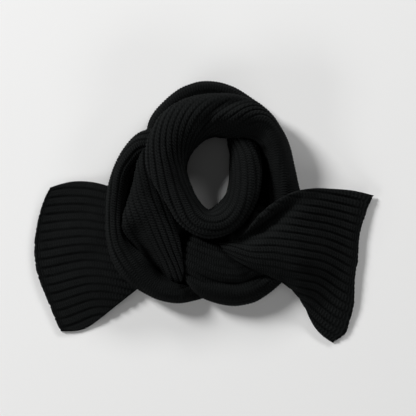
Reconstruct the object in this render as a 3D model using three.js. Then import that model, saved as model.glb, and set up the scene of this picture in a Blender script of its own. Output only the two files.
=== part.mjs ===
// A chunky rib-knit scarf, 260 mm wide and about 2.3 m long. It is wound twice into a ring, as for a neck,
// crossed over itself once in front, and laid on a flat surface with its two ends spread left and right.
// Millimetres, +Z up. The surface is z = 0, +X is towards the right-hand end and +Y away from the crossing.

import * as THREE from "three";

const KNIT_THICKNESS = 3; // at the bottom of a groove between two ribs
const RIB_HEIGHT = 2.2; // how far a rib stands above the grooves beside it
const LAYER_GAP = 0.2; // air between one layer of cloth and the next
const RIB_SHAPE = [
  // place in the rib, height as a share of RIB_HEIGHT
  [0, 0],
  [0.27, 1],
  [0.73, 1],
];
const ROUNDING_STEPS = 48; // straight steps that stand for one rounded section
const ACROSS = 24; // even steps across a section, at which the cloth's surface is worked out
const INNER_EVERY = 3; // of these steps go into each face of the plain inside
const CLOTH_COLOUR = 0x0e0f11;

// Every stretch of cloth that shows is a strand: a wall laid through the sections of its table. A row holds
// one edge, the crest and the other edge as [x, y, z], then the angles in degrees through which the cloth
// rounds over from the crest to each edge (90 ends upright, 25 is nearly flat), then the number of the rib
// that lies at each edge. Ribs that run off an edge go on under the cloth, where they are hidden.

// The first turn starts under the right-hand end, climbs the right side, crosses the top of the ring,
// comes down the left side, passes below the neck hole and climbs again to end under its own start.
const FRONT_TURN = [
  // outer edge        crest              hole-side edge    rounding  ribs
  [[163, -62, 0], [138, -58, 17], [112, -50, 9], 90, 80, 11, 17],
  [[168, -31, 0], [140, -32, 20], [113, -27, 9], 90, 80, 11, 17],
  [[168, 4, 0], [139, 4, 34], [112, 5, 12], 90, 80, 11, 17],
  [[163, 38, 0], [128, 39, 43], [110, 37, 14], 90, 80, 11, 17.5],
  [[154, 77, 0], [125, 76, 48], [106, 74, 18], 90, 80, 11, 18],
  [[145, 114, 0], [123, 110, 52], [99, 102, 27], 90, 80, 11, 18],
  [[127, 147, 0], [107, 145, 57], [90, 114, 32], 90, 75, 10.9, 18],
  [[103, 175, 5], [85, 166, 62], [70, 126, 34], 90, 75, 10, 17.8],
  [[67, 196, 36], [49, 175, 68], [40, 124, 27], 85, 80, 8, 16],
  [[25, 203, 36], [13, 171, 71], [5, 128, 2], 85, 88, 6, 15],
  [[-29, 197, 36], [-27, 160, 71], [-20, 112, 0], 85, 90, 4, 13],
  [[-68, 178, 36], [-59, 139, 69], [-34, 92, 0], 85, 90, 2, 11],
  [[-99, 141, 36], [-76, 110, 68], [-40, 74, 0], 85, 90, 0.7, 9.7],
  [[-110, 97, 40], [-79, 77, 66], [-38, 58, 0], 88, 90, 0, 9],
  [[-104, 59, 41], [-74, 50, 65], [-32, 40, 0], 88, 90, 0.5, 9],
  [[-88, 31, 41], [-59, 27, 63], [-24, 23, 0], 88, 90, 1.4, 9],
  [[-70, 2, 40], [-43, 5, 61], [-14, 7, 0], 88, 90, 2, 9],
  [[-47, -32, 31], [-25, -14, 59], [-4, -2, 0], 90, 90, 2, 9.5],
  [[-7, -54, 16], [2, -27, 58], [2, -5, 0], 90, 90, 1.6, 10],
  [[36, -47, 13], [29, -22, 56], [16, 4, 0], 90, 90, 1.2, 10],
  [[67, -22, 11], [52, -4, 54], [31, 20, 0], 90, 90, 0.8, 9.5],
  [[88, 16, 11], [68, 27, 53], [38, 43, 0], 90, 90, 0.4, 9],
  [[96, 56, 11], [74, 61, 52], [40, 70, 0], 90, 90, 0, 8.7],
  [[95, 90, 11], [72, 94, 47], [40, 99, 0], 88, 88, 0, 8.2],
  [[88, 119, 9], [65, 117, 36], [36, 117, 0], 80, 85, 0, 7.4],
  [[79, 139, 7], [56, 135, 25], [36, 131, 2], 70, 75, 0, 6],
];

// The second turn passes behind the first. Only its outer side shows, along the top of the ring.
const BACK_TURN = [
  // outer edge        crest              hidden edge       rounding  ribs
  [[112, 166, 0], [97, 160, 22], [77, 149, 13], 88, 60, 0, 4],
  [[83, 193, 0], [73, 185, 31], [56, 162, 11], 90, 65, 0, 4.8],
  [[42, 217, 0], [38, 207, 35], [29, 176, 12], 90, 70, 0, 5.2],
  [[-6, 226, 0], [-6, 215, 36], [-4, 180, 12], 90, 70, 0, 5.2],
  [[-49, 214, 0], [-45, 202, 36], [-32, 169, 12], 90, 70, 0, 5.2],
  [[-82, 187, 0], [-75, 177, 37], [-54, 152, 15], 90, 65, 0, 5],
  [[-106, 156, 0], [-96, 147, 36], [-74, 128, 23], 90, 60, 0, 4.6],
  [[-110, 122, 0], [-97, 117, 29], [-79, 108, 18], 90, 60, 0, 4],
];

// From the back of the ring the cloth swings out to the left, round the knot's lower left side and under
// the crossing. This outer fold of it lies over the left-hand end.
const LEFT_RIM = [
  // outer edge        crest              inner edge        rounding  ribs
  [[-90, 146, 0], [-86, 130, 20], [-79, 110, 13], 88, 60, 0, 4],
  [[-108, 140, 0], [-105, 121, 27], [-103, 99, 18], 90, 60, 0, 4.4],
  [[-130, 130, 0], [-123, 113, 31], [-114, 93, 18], 90, 60, 0, 4.6],
  [[-149, 108, 0], [-141, 95, 33], [-127, 72, 16], 90, 60, 0, 4.8],
  [[-166, 77, 0], [-157, 69, 36], [-138, 50, 16], 90, 60, 0, 5],
  [[-176, 43, 11], [-166, 36, 39], [-146, 22, 18], 88, 60, 0, 5],
  [[-180, 5, 18], [-170, 0, 42], [-149, -7, 23], 88, 60, 0, 5],
  [[-180, -36, 20], [-168, -39, 45], [-148, -40, 31], 88, 60, 0, 5],
  [[-175, -75, 16], [-161, -73, 46], [-138, -63, 31], 88, 60, 0, 5],
  [[-160, -110, 7], [-148, -99, 43], [-117, -79, 21], 88, 45, 0, 5.4],
  [[-138, -135, 2], [-128, -120, 40], [-101, -97, 17], 90, 45, 0, 5.6],
  [[-107, -155, 0], [-102, -141, 38], [-85, -115, 17], 90, 45, 0, 5.6],
  [[-75, -168, 0], [-73, -153, 36], [-66, -129, 19], 90, 50, 0, 5.4],
  [[-43, -169, 0], [-43, -155, 30], [-46, -137, 18], 90, 65, 0, 4.8],
  [[-16, -163, 0], [-19, -151, 16], [-26, -138, 10], 88, 60, 0, 4],
  [[7, -157, 0], [4, -147, 8], [-4, -134, 5], 70, 50, 0, 3],
];

// The inner half of the same cloth falls in front of the rim and covers the crossing's left end.
const LEFT_FALL = [
  // left edge         crest              right edge        rounding  ribs
  [[-112, 108, 31], [-99, 104, 36], [-83, 101, 31], 60, 60, 7, 9],
  [[-125, 86, 27], [-106, 75, 45], [-79, 65, 36], 80, 60, 5.6, 9.4],
  [[-130, 54, 27], [-110, 47, 50], [-72, 32, 38], 82, 60, 4, 9.6],
  [[-139, 22, 27], [-111, 14, 53], [-65, 7, 40], 82, 60, 2.6, 9.4],
  [[-150, -11, 31], [-112, -14, 54], [-58, -22, 40], 80, 65, 1.2, 9.2],
  [[-151, -42, 36], [-106, -42, 52], [-50, -50, 41], 75, 80, 0.4, 9],
  [[-127, -68, 29], [-92, -68, 49], [-47, -77, 41], 70, 85, 0.7, 8.6],
  [[-117, -87, 14], [-76, -92, 42], [-43, -106, 38], 50, 85, 1, 7.8],
  [[-110, -105, 9], [-73, -114, 31], [-44, -127, 28], 45, 80, 1.2, 6.8],
  [[-97, -122, 9], [-71, -130, 17], [-51, -135, 15], 45, 70, 1.6, 5.8],
];

// The crossing runs from the right side of the ring to the left-hand end, as two rolls side by side.
const CROSSING = [
  // lower edge        crest              upper edge        rounding  ribs
  [[163, -63, 0], [138, -59, 17], [112, -51, 9], 90, 80, 0, 6],
  [[153, -103, 0], [135, -95, 22], [113, -83, 12], 90, 80, 0, 5],
  [[135, -128, 0], [119, -113, 32], [95, -93, 22], 90, 85, 0, 6],
  [[112, -151, 0], [96, -128, 36], [78, -100, 23], 90, 85, 0, 7],
  [[82, -169, 0], [69, -134, 39], [58, -96, 22], 90, 88, 0, 8.4],
  [[50, -175, 0], [44, -135, 40], [42, -80, 19], 90, 75, 0, 9.6],
  [[20, -171, 0], [18, -131, 43], [23, -62, 17], 90, 70, 0, 10.6],
  [[-9, -161, 12], [-9, -119, 44], [-5, -52, 19], 90, 70, 0.4, 10.8],
  [[-30, -143, 24], [-32, -105, 42], [-28, -47, 20], 85, 75, 1.4, 10.4],
  [[-46, -117, 18], [-52, -90, 32], [-52, -61, 16], 80, 85, 3, 8.4],
  [[-63, -103, 11], [-72, -85, 23], [-72, -67, 13], 75, 75, 4, 7.2],
];

// The left-hand end comes out flat from below the rim.
const LEFT_END = [
  // upper edge        crest              lower edge        rounding  ribs
  [[-124, 7, 18], [-117, -61, 25], [-103, -127, 16], 30, 30, 0.6, 10.4],
  [[-160, 31, 14], [-153, -57, 23], [-132, -150, 13], 30, 35, 0.2, 13.2],
  [[-185, 42, 10], [-185, -54, 20], [-165, -176, 10], 30, 40, 0, 15.8],
  [[-215, 48, 5], [-222, -58, 13], [-195, -200, 6], 30, 40, 0, 17.6],
  [[-244, 48, 3], [-261, -68, 8], [-220, -217, 3], 30, 35, 0.1, 18],
  [[-266, 43, 3], [-289, -75, 4], [-242, -222, 3], 30, 30, 0.3, 17.7],
  [[-284, 37, 3], [-312, -86, 3], [-264, -222, 3], 30, 30, 0.5, 17.5],
];

// The right-hand end climbs out from below the crossing, lies over it and fans out to the right.
const RIGHT_END = [
  // upper edge        crest              lower edge        rounding  ribs
  [[20, -65, 9], [29, -74, 16], [38, -83, 13], 70, 60, 9.6, 12.6],
  [[43, -59, 25], [52, -77, 40], [63, -101, 38], 75, 60, 8, 13],
  [[65, -43, 42], [77, -74, 51], [86, -112, 39], 75, 60, 6.4, 13.4],
  [[83, -19, 50], [103, -68, 54], [109, -121, 34], 65, 65, 4.8, 13.8],
  [[106, 4, 54], [130, -65, 52], [131, -132, 26], 60, 70, 3.4, 14.3],
  [[135, 22, 52], [157, -68, 45], [151, -148, 23], 60, 70, 2, 15.2],
  [[164, 32, 43], [180, -76, 34], [164, -164, 14], 50, 65, 0.9, 16.2],
  [[194, 36, 32], [203, -83, 23], [175, -182, 8], 40, 60, 0.4, 17.1],
  [[228, 34, 20], [227, -88, 14], [185, -205, 4], 30, 50, 0.2, 17.7],
  [[260, 32, 12], [248, -94, 7], [201, -227, 3], 30, 40, 0, 18],
  [[296, 23, 7], [268, -97, 3], [222, -241, 3], 30, 30, 0, 18],
];

// Soft troughs in a strand: where each starts and ends, its depth and half its width.
const CROSSING_TROUGHS = [
  // from          to            depth  half width
  [[-40, -117], [9, -131], 11, 8],
  [[9, -131], [52, -136], 13, 8],
  [[52, -136], [108, -119], 12, 9],
];
const FRONT_TURN_TROUGHS = [
  [[-9, 146], [12, 173], 12, 9],
  [[12, 173], [46, 187], 11, 9],
];
const LEFT_FALL_TROUGHS = [
  [[-122, -42], [-106, -78], 10, 13],
  [[-106, -78], [-90, -108], 17, 14],
];
const RIGHT_END_TROUGHS = [
  [[62, -60], [90, -43], 14, 11],
  [[90, -43], [124, -17], 18, 12],
  [[124, -17], [140, 2], 14, 11],
  [[140, 2], [158, 16], 8, 10],
  [[200, -27], [236, -88], 3.6, 23],
  [[171, -113], [221, -135], 3.6, 14],
];
const LEFT_END_TROUGHS = [
  [[-193, -83], [-257, -101], 2.7, 16],
  [[-200, 4], [-270, -20], 2.7, 14],
];

// How far the cast-off edge of an end runs past its last section: place across from -1 to 1, and distance.
const RIGHT_HEM = [
  [-1, 2],
  [-0.85, -5],
  [-0.5, -9],
  [0, 2],
  [0.5, 18],
  [0.8, 20],
  [1, 3],
];
const LEFT_HEM = [
  [-1, 0],
  [-0.5, -2],
  [0, 0],
  [0.6, -4],
  [1, 0],
];

const STRANDS = {
  left_end: { table: LEFT_END, step: 16, troughs: LEFT_END_TROUGHS, hem: LEFT_HEM },
  right_end: { table: RIGHT_END, step: 15, troughs: RIGHT_END_TROUGHS, hem: RIGHT_HEM },
  crossing: { table: CROSSING, step: 16, troughs: CROSSING_TROUGHS },
  left_rim: { table: LEFT_RIM, step: 16 },
  left_fall: { table: LEFT_FALL, step: 15, troughs: LEFT_FALL_TROUGHS },
  back_turn: { table: BACK_TURN, step: 18 },
  front_turn: { table: FRONT_TURN, step: 16, troughs: FRONT_TURN_TROUGHS },
};

// The order in which the stretches are laid on each other, from the bottom: strand, first and last row, and
// how far it then settles between the ribs below it.
const LAYING_ORDER = [
  ["left_end", 0, 6],
  ["left_rim", 12.9, 15],
  ["front_turn", 23, 25],
  ["back_turn", 0, 7],
  ["crossing", 0, 10],
  ["left_rim", 0, 8.5],
  ["left_fall", 0, 9],
  ["left_rim", 8.5, 12.9],
  ["front_turn", 0, 21.6],
  ["right_end", 0, 10, 0.8],
];

// The folded layers that nothing shows are one solid with a flat underside. Its sections stand like spokes
// about the neck hole, and its top stays under the lowest cloth that lies over it.
const SPOKE_CENTRE = [2, 65];
const SPOKES = 84;
const SPOKE_STEPS = 10;
const SPOKE_REACH = 270;
const COVERED_BY = ["front_turn", "back_turn", "left_rim", "left_fall", "crossing"];
const EDGE_CLEARANCE = 9; // cells between the solid's sides and the cloth that comes down round it
const LEAST_LAYER = 7; // the solid ends where there is less room than this
const BETWEEN_TURNS = 14; // its height where no cloth lies over it
const MOST_PEAK = 3; // how far a point of its top may stand above those around it
const LAYERED_EDGE = [
  // share of the side's height, how far in from the side: folds of cloth that lie on each other
  [0, 2],
  [1 / 6, 0],
  [1 / 3, 3],
  [1 / 2, 0],
  [2 / 3, 3],
  [5 / 6, 0],
];

const CELL = 1; // size of a cell of the height maps
const MAP_SIDE = 700; // the maps reach this far across, about the middle of the layout
const CELLS = Math.ceil(MAP_SIDE / CELL);
const SAMPLE = 0.8; // spacing of the points that are marked or tested on a face

const radians = THREE.MathUtils.degToRad;
const lerp = THREE.MathUtils.lerp;
const clamp = THREE.MathUtils.clamp;
const flatOf = (p) => new THREE.Vector3(p.x, p.y, 0);

// A map of one height for each cell, which keeps the higher or the lower of what is marked there.
class HeightMap {
  constructor(empty, choose) {
    this.cells = new Float32Array(CELLS * CELLS).fill(empty);
    this.choose = choose;
  }

  cell(x, y) {
    return [Math.floor((x + MAP_SIDE / 2) / CELL), Math.floor((y + MAP_SIDE / 2) / CELL)];
  }

  mark(p) {
    const [i, j] = this.cell(p.x, p.y);
    this.cells[j * CELLS + i] = this.choose(this.cells[j * CELLS + i], p.z);
  }

  read(x, y, reach) {
    const [i, j] = this.cell(x, y);
    let found = this.cells[j * CELLS + i];
    for (let dj = -reach; dj <= reach; dj++)
      for (let di = -reach; di <= reach; di++)
        found = this.choose(found, this.cells[(j + dj) * CELLS + i + di]);
    return found;
  }
}

// Calls a function with points spread over a triangle of vertices.
function overFace([a, b, c], visit) {
  const longest = Math.max(a.distanceTo(b), b.distanceTo(c), c.distanceTo(a));
  const steps = Math.ceil(longest / SAMPLE);
  for (let m = 0; m <= steps; m++)
    for (let n = 0; n <= steps - m; n++) {
      const p = a.clone().multiplyScalar((steps - m - n) / steps);
      visit(p.addScaledVector(b, m / steps).addScaledVector(c, n / steps));
    }
}

// The numbers of a table's row, at a place between its rows such as 2.5, on a smooth curve.
function rowAt(rows, at) {
  const i = Math.min(Math.floor(at), rows.length - 2);
  const f = at - i;
  const near = [Math.max(i - 1, 0), i, i + 1, Math.min(i + 2, rows.length - 1)];
  const [before, start, end, after] = near.map((n) => rows[n]);
  const weights = [(2 * f - 3) * f * f + 1, ((f - 2) * f + 1) * f, (3 - 2 * f) * f * f, (f - 1) * f * f];
  return start.map((value, n) => {
    const leaving = (end[n] - before[n]) / 2;
    const arriving = (after[n] - value) / 2;
    return weights[0] * value + weights[1] * leaving + weights[2] * end[n] + weights[3] * arriving;
  });
}

// One section as points from edge to edge, evenly spaced in angle on each side of the crest.
function sectionOf([ax, ay, az, cx, cy, cz, bx, by, bz, roundA, roundB]) {
  const points = [];
  for (let n = 0; n <= ROUNDING_STEPS; n++) {
    const t = (2 * n) / ROUNDING_STEPS - 1;
    const full = radians(t < 0 ? roundA : roundB);
    const side = Math.sin(t * full) / Math.sin(full);
    const down = (1 - Math.cos(t * full)) / (1 - Math.cos(full));
    const x = cx + ((bx - ax) / 2) * side + ((ax + bx) / 2 - cx) * side * side;
    const y = cy + ((by - ay) / 2) * side + ((ay + by) / 2 - cy) * side * side;
    points.push(new THREE.Vector3(x, y, cz + ((t < 0 ? az : bz) - cz) * down));
  }
  return points;
}

// A number of even steps along a line of points: the points at their ends, and where each falls in the line.
function evenSteps(points, steps) {
  const run = [0];
  for (let n = 1; n < points.length; n++) run.push(run[n - 1] + points[n].distanceTo(points[n - 1]));
  const total = run[run.length - 1];
  const found = [];
  let n = 1;
  for (let k = 0; k <= steps; k++) {
    while (n < points.length - 1 && run[n] < (k * total) / steps) n++;
    const f = clamp(((k * total) / steps - run[n - 1]) / (run[n] - run[n - 1]), 0, 1);
    found.push({ point: points[n - 1].clone().lerp(points[n], f), place: n - 1 + f });
  }
  return { found, total };
}

function readTable(pairs, at) {
  const past = pairs.findIndex(([place]) => place >= at);
  const n = past < 0 ? pairs.length - 1 : Math.max(past, 1);
  const [[x0, y0], [x1, y1]] = [pairs[n - 1], pairs[n]];
  return lerp(y0, y1, THREE.MathUtils.smoothstep((at - x0) / (x1 - x0), 0, 1));
}

// How deep the strand's troughs are at a place in plan.
function troughDepth(troughs, p) {
  return troughs.reduce((deepest, [[x0, y0], [x1, y1], depth, half]) => {
    const line = new THREE.Line3(new THREE.Vector3(x0, y0, 0), new THREE.Vector3(x1, y1, 0));
    const off = line.closestPointToPoint(flatOf(p), true, new THREE.Vector3()).distanceTo(flatOf(p));
    return Math.max(deepest, depth * Math.exp(-((off / half) ** 2)));
  }, 0);
}

// Spreads wanted heights over their neighbours without lowering any.
function softened(wanted) {
  let now = wanted;
  for (let round = 0; round < 4; round++) {
    const spread = now.map((row, j) =>
      row.map((own, k) => {
        const beside = [now[j - 1]?.[k], now[j + 1]?.[k], row[k - 1], row[k + 1]];
        const near = beside.filter((w) => w !== undefined);
        return near.reduce((sum, w) => sum + w, 4 * own) / (near.length + 4);
      }),
    );
    now = spread.map((row, j) => row.map((w, k) => Math.max(w, wanted[j][k])));
  }
  return now;
}

// Faces between two lines of vertices, each of which has a key that grows along it.
function faceBetween(near, far) {
  const faces = [];
  let [i, j] = [0, 0];
  while (i < near.length - 1 || j < far.length - 1) {
    const nearNext = i < near.length - 1 ? near[i + 1].key : Infinity;
    const farNext = j < far.length - 1 ? far[j + 1].key : Infinity;
    if (nearNext <= farNext) {
      faces.push([near[i], near[i + 1], far[j]]);
      i++;
    } else {
      faces.push([near[i], far[j + 1], far[j]]);
      j++;
    }
  }
  return faces;
}

class Strand {
  constructor({ table, step, troughs = [], hem = null }) {
    const rows = table.map((row) => row.flat());
    const fine = 24;
    const crests = [];
    for (let n = 0; n <= (rows.length - 1) * fine; n++)
      crests.push(new THREE.Vector3(...rowAt(rows, n / fine).slice(3, 6)));
    const length = evenSteps(crests, 1).total;
    this.places = evenSteps(crests, Math.round(length / step)).found.map(({ place }) => place / fine);
    this.sections = this.places.map((at) => rowAt(rows, at));
    this.troughs = troughs;
    this.hem = hem;
    this.lift = this.places.map(() => Array(ACROSS + 1).fill(0));
    this.shape();
  }

  // The surface at the bottom of the grooves, and which way it faces, from the sections as they are now.
  shape() {
    this.points = this.sections.map((section, j) =>
      evenSteps(sectionOf(section), ACROSS).found.map(({ point }, k) => {
        point.z = Math.max(point.z + this.lift[j][k] - troughDepth(this.troughs, point), 0);
        return point;
      }),
    );
    if (this.hem) this.pushHem();
    const last = this.points.length - 1;
    const along = (j, k) =>
      this.points[Math.min(j + 1, last)][k].clone().sub(this.points[Math.max(j - 1, 0)][k]);
    const wide = (j, k) =>
      this.points[j][Math.min(k + 1, ACROSS)].clone().sub(this.points[j][Math.max(k - 1, 0)]);
    this.normals = this.points.map((row, j) => row.map((_, k) => wide(j, k).cross(along(j, k)).normalize()));
    this.turned = this.normals.reduce((sum, row) => sum + row[ACROSS / 2].z, 0) < 0;
    if (this.turned) this.normals.flat().forEach((n) => n.negate());
  }

  // Moves the last points along the ribs, so that the cast-off edge has its own outline.
  pushHem() {
    const reach = 5;
    const last = this.points.length - 1;
    for (let j = last; j > last - reach; j--)
      this.points[j].forEach((p, k) => {
        const ahead = flatOf(p).sub(flatOf(this.points[j - 1][k])).normalize();
        const share = ((j - last + reach) / reach) ** 2;
        p.addScaledVector(ahead, share * readTable(this.hem, (2 * k) / ACROSS - 1));
      });
  }

  // A point of a section at a share of its length, moved out from the surface.
  pointAt(j, share, out) {
    const k = Math.min(Math.floor(share * ACROSS), ACROSS - 1);
    const f = share * ACROSS - k;
    const p = this.points[j][k].clone().lerp(this.points[j][k + 1], f);
    const facing = this.normals[j][k].clone().lerp(this.normals[j][k + 1], f);
    p.addScaledVector(facing.normalize(), out);
    p.z = Math.max(p.z, 0);
    return p;
  }

  // Ribs stand on the outer points, which are keyed by rib, so that a rib is one line down the strand.
  outerRow(j) {
    const [first, last] = this.sections[j].slice(11, 13);
    const least = 0.15;
    const line = [{ key: first, height: 0 }];
    for (let rib = Math.floor(first); rib < last; rib++)
      for (const [place, height] of RIB_SHAPE) {
        const key = rib + place;
        if (key > first + least && key < last - least) line.push({ key, height });
      }
    line.push({ key: last, height: 0 });
    return line.map(({ key, height }) =>
      Object.assign(this.pointAt(j, (key - first) / (last - first), RIB_HEIGHT * height), { key }),
    );
  }

  innerRow(j) {
    const line = [];
    for (let k = 0; k <= ACROSS; k += INNER_EVERY)
      line.push(Object.assign(this.pointAt(j, k / ACROSS, -KNIT_THICKNESS), { key: k / ACROSS, column: k }));
    return line;
  }

  // Faces of one side of the wall between two rows of its table.
  sheet(lines, first, last) {
    const faces = [];
    for (let j = 0; j < lines.length - 1; j++)
      if (this.places[j] >= first && this.places[j + 1] <= last)
        faces.push(...faceBetween(lines[j], lines[j + 1]));
    return faces;
  }

  outerFaces(first = 0, last = Infinity) {
    return this.sheet(this.points.map((_, j) => this.outerRow(j)), first, last);
  }

  innerFaces(first = 0, last = Infinity) {
    return this.sheet(this.points.map((_, j) => this.innerRow(j)), first, last);
  }

  // Raises the edges and the crest, and then single points, until a stretch clears what lies below it.
  layOn(map, first, last, settling = 0) {
    const gap = LAYER_GAP - settling;
    const inRange = this.places.map((at) => at >= first && at <= last);
    for (const n of [0, 3, 6]) {
      const wanted = this.sections.map((s, j) => {
        const need = map.read(s[n], s[n + 1], 1) + gap + KNIT_THICKNESS - s[n + 2];
        return [inRange[j] ? Math.max(0, need) : 0];
      });
      softened(wanted).forEach(([w], j) => (this.sections[j][n + 2] += inRange[j] ? w : 0));
    }
    this.sections.forEach((s) => (s[5] = Math.max(s[5], s[2] + 2, s[8] + 2)));
    this.shape();
    for (let round = 0; round < 5; round++) {
      const wanted = this.lift.map((row) => row.map(() => 0));
      this.points.slice(0, -1).forEach((_, j) => {
        if (!inRange[j] || !inRange[j + 1]) return;
        const [near, far] = [this.innerRow(j), this.innerRow(j + 1)];
        for (const face of faceBetween(near, far)) {
          let need = 0;
          overFace(face, (p) => (need = Math.max(need, map.read(p.x, p.y, 1) + gap - p.z)));
          const columns = face.map((v) => v.column);
          for (const row of [j, j + 1])
            for (let k = Math.min(...columns); k <= Math.max(...columns); k++)
              wanted[row][k] = Math.max(wanted[row][k], need);
        }
      });
      softened(wanted).forEach((row, j) => row.forEach((w, k) => (this.lift[j][k] += w)));
      this.shape();
    }
  }

  // The closed wall: ribs on its outer points, a plain inside, and strips round its four edges.
  geometry() {
    const outer = this.points.map((_, j) => this.outerRow(j));
    const inner = this.points.map((_, j) => this.innerRow(j));
    const flip = ([a, b, c]) => [a, c, b];
    const faces = [...this.sheet(outer, 0, Infinity), ...this.sheet(inner, 0, Infinity).map(flip)];
    for (let j = 0; j < outer.length - 1; j++) {
      const [e, f, g, h] = [outer[j][0], outer[j + 1][0], inner[j][0], inner[j + 1][0]];
      faces.push([e, f, g], [f, h, g]);
      const [a, b, c, d] = [outer[j].at(-1), inner[j].at(-1), outer[j + 1].at(-1), inner[j + 1].at(-1)];
      faces.push([a, b, c], [c, b, d]);
    }
    const shareKeys = (line) => {
      const [first, last] = [line[0].key, line.at(-1).key];
      line.forEach((v) => (v.key = (v.key - first) / (last - first)));
      return line;
    };
    faces.push(...faceBetween(shareKeys(inner[0]), shareKeys(outer[0])));
    faces.push(...faceBetween(shareKeys(outer.at(-1)), shareKeys(inner.at(-1))));
    return geometryOf(this.turned ? faces.map(flip) : faces);
  }
}

function geometryOf(faces) {
  const numbers = new Map();
  const positions = [];
  const index = faces.flat().map((v) => {
    if (!numbers.has(v)) {
      numbers.set(v, numbers.size);
      positions.push(v.x, v.y, v.z);
    }
    return numbers.get(v);
  });
  const geometry = new THREE.BufferGeometry();
  geometry.setAttribute("position", new THREE.Float32BufferAttribute(positions, 3));
  geometry.setIndex(index);
  return geometry;
}

const strands = Object.fromEntries(Object.entries(STRANDS).map(([name, facts]) => [name, new Strand(facts)]));
const tops = new HeightMap(-KNIT_THICKNESS - LAYER_GAP, Math.max);
LAYING_ORDER.forEach(([name, first, last, settling], n) => {
  strands[name].layOn(tops, first, last, settling);
  const laidAgain = LAYING_ORDER.slice(n + 1).some(([later]) => later === name);
  const faces = laidAgain ? strands[name].outerFaces(first, last) : strands[name].outerFaces();
  faces.forEach((face) => overFace(face, (p) => tops.mark(p)));
});

// Builds that solid from spokes, each of which runs from the hole's side of the heap to its outside.
function hiddenLayers() {
  const open = 1e6;
  const undersides = new HeightMap(open, Math.min);
  const covered = new HeightMap(open, Math.min);
  for (const [name, strand] of Object.entries(strands))
    for (const face of [...strand.innerFaces(), ...strand.outerFaces()])
      overFace(face, (p) => {
        undersides.mark(p);
        if (COVERED_BY.includes(name)) covered.mark(p);
      });
  const spokes = [];
  for (let n = 0; n < SPOKES; n++) {
    const angle = (2 * Math.PI * n) / SPOKES;
    const place = (r) => [SPOKE_CENTRE[0] + r * Math.cos(angle), SPOKE_CENTRE[1] + r * Math.sin(angle)];
    const spoke = { place, from: Infinity, to: 0 };
    for (let r = 0; r < SPOKE_REACH; r += 2 * CELL) {
      const [x, y] = place(r);
      if (covered.read(x, y, 0) === open || undersides.read(x, y, EDGE_CLEARANCE) < LEAST_LAYER) continue;
      spoke.from = Math.min(spoke.from, r);
      spoke.to = r;
    }
    spokes.push(spoke);
  }
  const around = (n) => [spokes.at(n - 1), spokes[(n + 1) % SPOKES]];
  const lines = spokes.map(({ place, from, to }, n) => {
    const start = Math.max(from, ...around(n).map((s) => s.from));
    const end = Math.min(to, ...around(n).map((s) => s.to));
    const line = [];
    for (let k = 0; k <= SPOKE_STEPS; k++) {
      const [x, y] = place(lerp(start, end, k / SPOKE_STEPS));
      const room = undersides.read(x, y, 1) - LAYER_GAP;
      line.push(new THREE.Vector3(x, y, room > open / 2 ? BETWEEN_TURNS : room));
    }
    return line;
  });
  for (let round = 0; round < 4; round++)
    lines.forEach((line, n) => {
      const [before, next] = [lines.at(n - 1), lines[(n + 1) % SPOKES]];
      for (let k = 1; k < SPOKE_STEPS; k++) {
        const near = line[k - 1].z + line[k + 1].z + before[k].z + next[k].z;
        line[k].z = Math.min(line[k].z, near / 4 + MOST_PEAK);
      }
    });
  const topFaces = facesRound(lines, SPOKE_STEPS);
  for (let round = 0; round < 8; round++)
    for (const face of topFaces) {
      let excess = 0;
      overFace(face, (p) => (excess = Math.max(excess, p.z + LAYER_GAP - undersides.read(p.x, p.y, 1))));
      face.forEach((v) => (v.z = Math.max(v.z - excess, 1)));
    }
  const loops = lines.map((line) => {
    const [holeSide, outside] = [line[0], line.at(-1)];
    return [...layeredSide(holeSide, outside), ...line, ...layeredSide(outside, holeSide).reverse()];
  });
  return geometryOf(facesRound(loops, loops[0].length));
}

// Faces between each line and the next, all round; a line's last step leads back to its start.
function facesRound(lines, steps) {
  return lines.flatMap((line, n) => {
    const next = lines[(n + 1) % lines.length];
    return line.slice(0, steps).flatMap((a, k) => {
      const b = line[(k + 1) % line.length];
      const [c, d] = [next[(k + 1) % line.length], next[k]];
      return [[a, b, c], [a, c, d]];
    });
  });
}

// The points of a side under a top point, from the surface up, grooved in towards the other side.
function layeredSide(top, other) {
  const inward = flatOf(other).sub(flatOf(top)).normalize();
  return LAYERED_EDGE.map(([share, depth]) =>
    flatOf(top).addScaledVector(inward, depth).setZ(share * top.z),
  );
}

const cloth = new THREE.MeshStandardMaterial({ color: CLOTH_COLOUR, roughness: 0.95, metalness: 0 });
const scarf = new THREE.Group();
const addMesh = (name, geometry) => {
  geometry.computeVertexNormals();
  const mesh = new THREE.Mesh(geometry, cloth.clone());
  mesh.name = name;
  scarf.add(mesh);
};
for (const [name, strand] of Object.entries(strands)) addMesh(name, strand.geometry());
addMesh("hidden_layers", hiddenLayers());

// The origin is the middle of the scarf's outline, on the surface that it lies on.
const middle = new THREE.Box3().setFromObject(scarf).getCenter(new THREE.Vector3());
scarf.position.set(-middle.x, -middle.y, 0);

export default scarf;
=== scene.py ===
import math

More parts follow.
